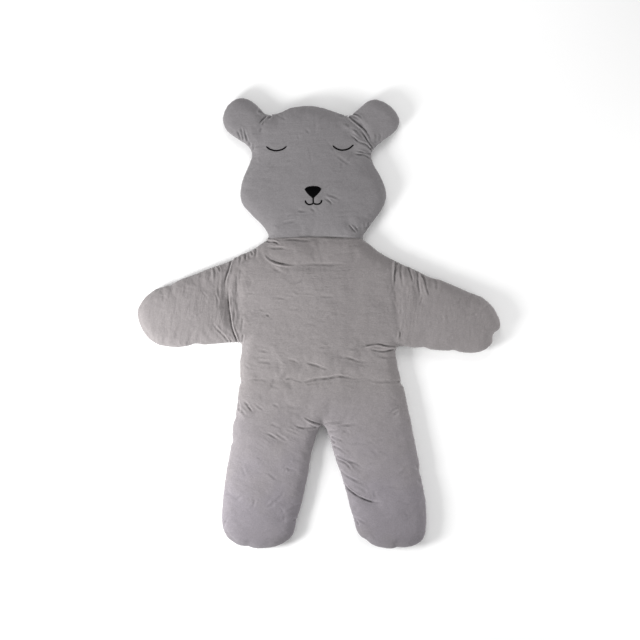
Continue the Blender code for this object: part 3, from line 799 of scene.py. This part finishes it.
# one side of the neck seam, closed with a wall where it was cut
def sectionOf(piece, name, side):
    form = openForm(piece.data)
    shift = {vert: np.interp(vert.co.x, neckLine[:, 0], neckLine[:, 1]) for vert in form.verts}
    for vert, amount in shift.items():
        vert.co.y -= amount
    cut = bmesh.ops.bisect_plane(
        form, geom=form.verts[:] + form.edges[:] + form.faces[:], dist=0.001 * mm,
        plane_co=(0, side * neckSeam["gap"] * mm, 0), plane_no=(0, -side, 0), clear_outer=True)
    rim = [edge for edge in cut["geom_cut"] if isinstance(edge, bmesh.types.BMEdge)]
    bmesh.ops.triangle_fill(form, edges=rim, use_beauty=True, use_dissolve=False)
    for vert in form.verts:
        vert.co.y += np.interp(vert.co.x, neckLine[:, 0], neckLine[:, 1])
    bmesh.ops.recalc_face_normals(form, faces=form.faces[:])
    mesh = bpy.data.meshes.new(name)
    closeForm(form, mesh)
    return newPiece(name, mesh)


def makeCovers():
    draw = np.random.default_rng(5)
    piece, rims = joinedForm()
    rimPoints = np.concatenate(rims)
    rim = KDTree(len(rimPoints))
    for index, place in enumerate(rimPoints):
        rim.insert(place, index)
    rim.balance()
    gridOf(piece, filling)
    fillCloth(piece, rim, filling)
    print("cloth filled:", len(piece.data.polygons), "faces")
    smoother = piece.modifiers.new("smoother", "SUBSURF")
    smoother.levels = smoother.render_levels = 1
    applyModifiers(piece)
    thinUnderside(piece, filling)
    refineGrid(piece, rim, creaseRows)
    rows = list(creaseRows) + strewnCreases(faintCreases, draw)
    sewAndCrease(piece, rim, len(rimPoints) * 2 * mm, rows, draw)
    sections = [sectionOf(piece, "head_cover", 1), sectionOf(piece, "body_cover", -1)]
    bpy.data.meshes.remove(piece.data)
    for section in sections:
        section.data.shade_smooth()
        print(section.name, "creased:", len(section.data.polygons), "faces")
    return sections


headCover, bodyCover = makeCovers()


# Embroidery: satin stitches on the face, each thread an arch that goes down into the cloth

def clothPlaces(flatLine, tree):
    places, ups = [], []
    for x, y in flatLine:
        place, up, face, fall = tree.ray_cast(Vector((x, y, 400 * mm)), Vector((0, 0, -1)))
        places.append(tuple(place))
        ups.append(tuple(up))
    even = np.array(ups)
    for turn in range(6):
        even[1:-1] = (even[:-2] + 2 * even[1:-1] + even[2:]) / 4
    return places, even


# a wire with what each of its points needs: the way up from the cloth, the way that the stitches follow
# one another and their width there as a share
def stitchWire(name, strokes, tree):
    points, edges, ups, aheads, widths = [], [], [], [], []
    for line, ahead, wide in strokes:
        first = len(points)
        places, upward = clothPlaces(line, tree)
        points += places
        ups += [tuple(way) for way in upward]
        aheads += [(*way, 0) for way in ahead]
        widths += [float(share) for share in wide]
        edges += [(index, index + 1) for index in range(first, len(points) - 1)]
    mesh = bpy.data.meshes.new(name)
    mesh.from_pydata(points, edges, [])
    for label, values in (("up", ups), ("ahead", aheads), ("wide", widths)):
        giveValues(mesh, label, values)
    return newPiece(name, mesh)


def satinTree(material):
    tree = bpy.data.node_groups.new("satin stitch", "GeometryNodeTree")
    tree.interface.new_socket("Wire", in_out="INPUT", socket_type="NodeSocketGeometry")
    for name in ("Pitch", "Thread", "Width", "Rise", "Sunk", "Slant", "Unevenness"):
        tree.interface.new_socket(name, in_out="INPUT", socket_type="NodeSocketFloat")
    tree.interface.new_socket("Stitches", in_out="OUTPUT", socket_type="NodeSocketGeometry")
    size = addNode(tree, "NodeGroupInput").outputs
    end = addNode(tree, "NodeGroupOutput")

    def reckon(operation, *values):
        node = addNode(tree, "ShaderNodeMath", dict(enumerate(values)), operation=operation)
        return node.outputs["Value"]

    def vector(x, y, z):
        return addNode(tree, "ShaderNodeCombineXYZ", {"X": x, "Y": y, "Z": z}).outputs["Vector"]

    def wireValue(name, kind):
        node = addNode(tree, "GeometryNodeInputNamedAttribute", {"Name": name}, data_type=kind)
        return node.outputs["Attribute"]

    # one thread: half a width to each side, up in the middle, its ends under the cloth
    half = reckon("MULTIPLY", size["Width"], 0.5)
    low = reckon("MULTIPLY", size["Sunk"], -1.0)
    arch = addNode(tree, "GeometryNodeCurveQuadraticBezier", {
        "Resolution": 8,
        "Start": vector(0.0, reckon("MULTIPLY", half, -1.0), low),
        "Middle": vector(0.0, 0.0, reckon("MULTIPLY_ADD", size["Rise"], 2.0, size["Sunk"])),
        "End": vector(0.0, half, low),
    })
    ring = addNode(tree, "GeometryNodeCurvePrimitiveCircle", {
        "Resolution": 6, "Radius": reckon("MULTIPLY", size["Thread"], 0.5)})
    oneThread = addNode(tree, "GeometryNodeCurveToMesh", {
        "Curve": arch.outputs["Curve"], "Profile Curve": ring.outputs["Curve"], "Fill Caps": True})

    # laid along the wire, square to its way ahead but for the slant
    curve = addNode(tree, "GeometryNodeMeshToCurve", {"Mesh": size["Wire"]})
    spaced = addNode(tree, "GeometryNodeResampleCurve", {
        "Curve": curve.outputs["Curve"], "Length": size["Pitch"]}, mode="LENGTH")
    turn = addNode(tree, "FunctionNodeAxesToRotation", {
        "Primary Axis": wireValue("up", "FLOAT_VECTOR"),
        "Secondary Axis": wireValue("ahead", "FLOAT_VECTOR"),
    }, primary_axis="Z", secondary_axis="X")
    slant = addNode(tree, "FunctionNodeAxisAngleToRotation", {"Axis": (0, 0, 1), "Angle": size["Slant"]})
    turned = addNode(tree, "FunctionNodeRotateRotation", {
        "Rotation": turn.outputs["Rotation"], "Rotate By": slant.outputs["Rotation"],
    }, rotation_space="LOCAL")
    # 2 and 3 are the least and the most of a random number
    chance = addNode(tree, "FunctionNodeRandomValue", {
        2: reckon("SUBTRACT", 1.0, size["Unevenness"]),
        3: reckon("ADD", 1.0, size["Unevenness"]),
        "Seed": 7,
    }, data_type="FLOAT")
    wide = wireValue("wide", "FLOAT")
    laid = addNode(tree, "GeometryNodeInstanceOnPoints", {
        "Points": spaced.outputs["Curve"],
        "Instance": oneThread.outputs["Mesh"],
        "Rotation": turned.outputs["Rotation"],
        "Scale": vector(
            1.0, reckon("MULTIPLY", wide, chance.outputs[1]), reckon("MULTIPLY_ADD", wide, 0.5, 0.5)),
    })
    real = addNode(tree, "GeometryNodeRealizeInstances", {"Geometry": laid.outputs["Instances"]})
    smooth = addNode(tree, "GeometryNodeSetShadeSmooth", {"Geometry": real.outputs["Geometry"]})
    coloured = addNode(tree, "GeometryNodeSetMaterial", {
        "Geometry": smooth.outputs["Geometry"], "Material": material})
    tree.links.new(coloured.outputs["Geometry"], end.inputs["Stitches"])
    return tree


def stitch(piece, tree, sizes):
    sewn = piece.modifiers.new("stitches", "NODES")
    sewn.node_group = tree
    for socket in tree.interface.items_tree:
        if socket.in_out == "INPUT" and socket.name in sizes:
            sewn[socket.identifier] = float(sizes[socket.name])
    applyModifiers(piece)


def makeEmbroidery(material):
    form = openForm(headCover.data)
    tree = BVHTree.FromBMesh(form)
    form.free()
    satinStitch = satinTree(material)
    sizes = {
        "Pitch": satin["pitch"] * mm,
        "Thread": satin["thread"] * mm,
        "Rise": satin["rise"] * mm,
        "Sunk": satin["sunk"] * mm,
        "Slant": math.radians(satin["slant"]),
        "Unevenness": satin["unevenness"],
    }
    pieces = []
    for node, (lines, width) in stitchedLines.items():
        strokes = []
        for places in lines:
            line = evenLine(smoothLine(places, 1.0)[:, :2], 1 * mm)
            along = lengthsAlong(line)
            toEnd = np.minimum(along, along[-1] - along)
            wide = 0.5 + 0.5 * smoothStep(toEnd / (satin["ends"] * mm))
            strokes.append((line, np.gradient(line, axis=0) / mm, wide))
        piece = stitchWire(node + "_stitches", strokes, tree)
        stitch(piece, satinStitch, {**sizes, "Width": width * mm})
        pieces.append((piece, node))
    # the nose, threads side by side from its lower to its upper edge
    top = smoothLine(nosePatch["top"], 1.0)
    bottom = smoothLine(nosePatch["bottom"], 1.0)
    x = np.arange(top[0, 0] + 0.5 * mm, top[-1, 0] - 0.4 * mm, 1 * mm)
    high = np.interp(x, top[:, 0], top[:, 1])
    low = np.interp(x, bottom[:, 0], bottom[:, 1])
    line = np.stack([x, (high + low) / 2], axis=1)
    width = (high - low).max()
    piece = stitchWire("nose_stitches", [(line, [(1, 0)] * len(line), (high - low) / width)], tree)
    stitch(piece, satinStitch, {**sizes, "Width": width, "Rise": satin["noseRise"] * mm, "Slant": 0.0})
    pieces.append((piece, "nose"))
    return pieces


# Materials

def newMaterial(name):
    material = bpy.data.materials.new(name)
    material.use_nodes = True
    return material, material.node_tree, material.node_tree.nodes["Principled BSDF"]


jersey = {
    "colour": (0.227, 0.210, 0.210),
    "legTint": (0.99, 0.99, 1.08),   # red, green and blue there against the colour
    "headShade": 0.82,     # the head's cloth is this much darker
    "headWarmth": -0.03,   # share by which it is redder and less blue
    # painted light on the crown, and painted shade on the feet and below the neck: from where to where
    # along the rug in metres, and the shade there
    "headPaintedLight": ((0.46, 0.68, 1.08),),
    "bodyPaintedShade": ((-0.50, -0.72, 0.89), (0.11, 0.26, 0.89)),
    "flecks": 0.07,        # share by which single fibres are lighter or darker
    "grain": 0.09,         # the same for patches a few millimetres wide
    "patches": 0.04,       # and for patches as wide as a hand
    "roughness": 0.92,
    "sheen": 0.30,
    "relief": 0.12,        # of the fibres
    "trough": 0.76,        # painted shade in the deepest trough
    "ridge": 1.36,         # and painted highlight on the highest ridge
    "wrinkles": 4.2,       # height of the fine wrinkles
    "legWrinkles": 0.6,    # the same on the legs, as a share
    "headWrinkles": 0.7,   # and on the head
    # scale, detail and roughness of each pattern, and for wrinkles also their turn and stretch
    "patterns": {
        "fibres": (420, 3, 0.7), "grain": (210, 2, 0.6), "patches": (26, 4, 0.5), "tint": (9, 3, 0.5),
        "across": (62, 4, 0.6, 3, 5), "upright": (62, 4, 0.6, 80, 4.5), "askew": (58, 4, 0.6, -26, 4),
        "wrinkled places": (11, 3, 0.6),
    },
}

thread = {
    "colour": (0.0015, 0.0015, 0.0018),
    "roughness": 0.62,
    "unevenness": 0.12,    # of the roughness
    "shine": 0.03,
    "twist": (1400, 0.05),   # scale and height
}


# where the fine wrinkles run upright or askew
def markLie(piece):
    upright, askew = clothLie(readPoints(piece.data))
    giveValues(piece.data, "upright", upright)
    giveValues(piece.data, "askew", askew)


def makeJersey(name, values, share, warm, wrinkled, paintedBands):
    material, tree, shader = newMaterial(name)
    place = addNode(tree, "ShaderNodeTexCoord").outputs["Object"]

    def pattern(label):
        scale, detail, roughness, *lie = values["patterns"][label]
        where = place
        if lie:
            turn, stretch = lie
            where = addNode(tree, "ShaderNodeMapping", {
                "Vector": place, "Rotation": (0, 0, math.radians(turn)), "Scale": (stretch, 1, 1),
            }, vector_type="TEXTURE").outputs["Vector"]
        return addNode(tree, "ShaderNodeTexNoise", {
            "Vector": where, "Scale": scale, "Detail": detail, "Roughness": roughness}).outputs["Fac"]

    def scaled(value, fromRange, toRange):
        return addNode(tree, "ShaderNodeMapRange", {
            "Value": value, "From Min": fromRange[0], "From Max": fromRange[1],
            "To Min": toRange[0], "To Max": toRange[1]}).outputs["Result"]

    # a pattern is seldom below 0.25 or above 0.75
    def spread(label, low, high):
        return scaled(pattern(label), (0.25, 0.75), (low, high))

    def unevenly(label):
        return spread(label, 1 - values[label], 1 + values[label])

    def attribute(label):
        return addNode(tree, "ShaderNodeAttribute", attribute_name=label).outputs["Fac"]

    def times(first, second):
        return addNode(tree, "ShaderNodeMath", {0: first, 1: second}, operation="MULTIPLY").outputs["Value"]

    def blend(factor, first, second):
        return addNode(tree, "ShaderNodeMix", {
            "Factor": factor, "A": first, "B": second}, data_type="FLOAT").outputs["Result"]

    fibres = pattern("fibres")
    light = scaled(fibres, (0.25, 0.75), (1 - values["flecks"], 1 + values["flecks"]))
    light = times(light, unevenly("grain"))
    light = times(light, unevenly("patches"))
    # painted highlight makes ridges lighter, and painted shade makes troughs darker, from the fold heights
    light = times(light, scaled(attribute("fold"), (-4.0, 0.0), (values["trough"], 1.0)))
    light = times(light, scaled(attribute("fold"), (0.0, 3.0), (1.0, values["ridge"])))
    alongRug = addNode(tree, "ShaderNodeSeparateXYZ", {"Vector": place}).outputs["Y"]
    # painted light and shade in bands along the rug: lighter on the crown, darker on the feet and below the
    # neck
    for start, end, paintedShade in paintedBands:
        light = times(light, scaled(alongRug, (start, end), (1.0, paintedShade)))
    red, green, blue = [part * share for part in values["colour"]]
    tinted = [part * tint for part, tint in zip((red, green, blue), values["legTint"])]
    legs = scaled(alongRug, (-0.2, -0.6), (0.1, 1.7))
    hue = addNode(tree, "ShaderNodeMix", {
        "Factor": times(spread("tint", 0.3, 0.8), legs),
        "A": (red * (1 + warm), green, blue * (1 - warm), 1),
        "B": (*tinted, 1),
    }, data_type="RGBA").outputs["Result"]
    shade = addNode(tree, "ShaderNodeVectorMath", {0: hue, "Scale": light}, operation="SCALE")
    tree.links.new(shade.outputs["Vector"], shader.inputs["Base Color"])
    shader.inputs["Roughness"].default_value = values["roughness"]
    shader.inputs["Sheen Weight"].default_value = values["sheen"]
    shader.inputs["Sheen Roughness"].default_value = 0.5
    shader.inputs["Specular IOR Level"].default_value = 0.2

    # fine wrinkles, stretched the way the cloth is drawn, here and there
    wrinkles = blend(attribute("upright"), pattern("across"), pattern("upright"))
    wrinkles = blend(attribute("askew"), wrinkles, pattern("askew"))
    wrinkles = times(wrinkles, spread("wrinkled places", 0.0, 1.6))
    wrinkles = times(wrinkles, scaled(attribute("askew"), (0.0, 1.0), (1.0, values["legWrinkles"])))
    folded = addNode(tree, "ShaderNodeBump", {
        "Strength": 1.0, "Distance": values["wrinkles"] * wrinkled * mm, "Height": wrinkles})
    bump = addNode(tree, "ShaderNodeBump", {
        "Strength": 0.5, "Distance": values["relief"] * mm, "Height": fibres,
        "Normal": folded.outputs["Normal"]})
    tree.links.new(bump.outputs["Normal"], shader.inputs["Normal"])
    return material


headJersey = makeJersey(
    "head jersey", jersey, jersey["headShade"], jersey["headWarmth"], jersey["headWrinkles"],
    jersey["headPaintedLight"])
bodyJersey = makeJersey("body jersey", jersey, 1.0, 0.0, 1.0, jersey["bodyPaintedShade"])
headCover.data.materials.append(headJersey)
bodyCover.data.materials.append(bodyJersey)
for cover in (headCover, bodyCover):
    markLie(cover)

for piece, node in ((headCover, "head"), (bodyCover, "body")):
    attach(piece, "root")
    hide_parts(node)


def makeThread(values):
    material, tree, shader = newMaterial("black thread")
    place = addNode(tree, "ShaderNodeTexCoord").outputs["Object"]
    scale, height = values["twist"]
    noise = addNode(tree, "ShaderNodeTexNoise", {"Vector": place, "Scale": scale, "Detail": 2})
    twist = noise.outputs["Fac"]
    rough = addNode(tree, "ShaderNodeMapRange", {
        "Value": twist, "To Min": values["roughness"] - values["unevenness"],
        "To Max": values["roughness"] + values["unevenness"]})
    tree.links.new(rough.outputs["Result"], shader.inputs["Roughness"])
    shader.inputs["Base Color"].default_value = (*values["colour"], 1)
    shader.inputs["Specular IOR Level"].default_value = values["shine"]
    bump = addNode(tree, "ShaderNodeBump", {"Strength": 0.3, "Distance": height * mm, "Height": twist})
    tree.links.new(bump.outputs["Normal"], shader.inputs["Normal"])
    return material


for piece, node in makeEmbroidery(makeThread(thread)):
    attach(piece, "root")
    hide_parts(node)
    print(piece.name, "sewn:", len(piece.data.polygons), "faces")


# Floor, light and camera

def makeStage():
    bpy.ops.mesh.primitive_plane_add(size=14)
    floor = bpy.context.object
    floor.name = "floor"
    material, tree, shader = newMaterial("white floor")
    shader.inputs["Base Color"].default_value = (0.97, 0.97, 0.97, 1)
    shader.inputs["Roughness"].default_value = 0.9
    shader.inputs["Specular IOR Level"].default_value = 0
    floor.data.materials.append(material)


# soft boxes: where, where they point, their size in metres and power in watts
studio = {
    "lamps": (
        ("soft box", (-1.62, -0.70, 0.92), (0, 0, 0), 0.8, 57),
        ("soft box, right", (2.0, -0.54, 0.75), (0, 0, 0), 1.2, 19),
        ("soft box, head", (0.1, 1.95, 1.6), (0, 0, 0), 1.2, 18),
    ),
    "sky": 0.42,
}


def makeLight():
    world = bpy.data.worlds.new("studio")
    world.use_nodes = True
    world.node_tree.nodes["Background"].inputs["Color"].default_value = (1, 1, 1, 1)
    world.node_tree.nodes["Background"].inputs["Strength"].default_value = studio["sky"]
    scene.world = world
    for name, place, target, size, power in studio["lamps"]:
        lamp = bpy.data.lights.new(name, "AREA")
        lamp.shape = "SQUARE"
        lamp.size = size
        lamp.energy = power
        holder = bpy.data.objects.new(name, lamp)
        holder.location = place
        holder.rotation_euler = (Vector(target) - Vector(place)).to_track_quat("-Z", "Y").to_euler()
        holder.visible_camera = False
        scene.collection.objects.link(holder)


view = {
    "lens": 135.0,
    "filmWidth": 36.0,
    "across": 640 * 3.337,     # what the picture shows from side to side at the height below
    "height": 24.0,
    "centre": (5.4, 9.2),
}


def makeCamera():
    data = bpy.data.cameras.new("camera")
    data.lens = view["lens"]
    data.sensor_width = view["filmWidth"]
    camera = bpy.data.objects.new("camera", data)
    away = view["across"] * view["lens"] / view["filmWidth"]
    camera.location = Vector((*view["centre"], view["height"] + away)) * mm
    camera.rotation_euler = (0, 0, 0)
    data.clip_end = 100
    scene.collection.objects.link(camera)
    scene.camera = camera


makeStage()
makeLight()
makeCamera()
scene.view_settings.view_transform = "Standard"
print("floor, light and camera set")
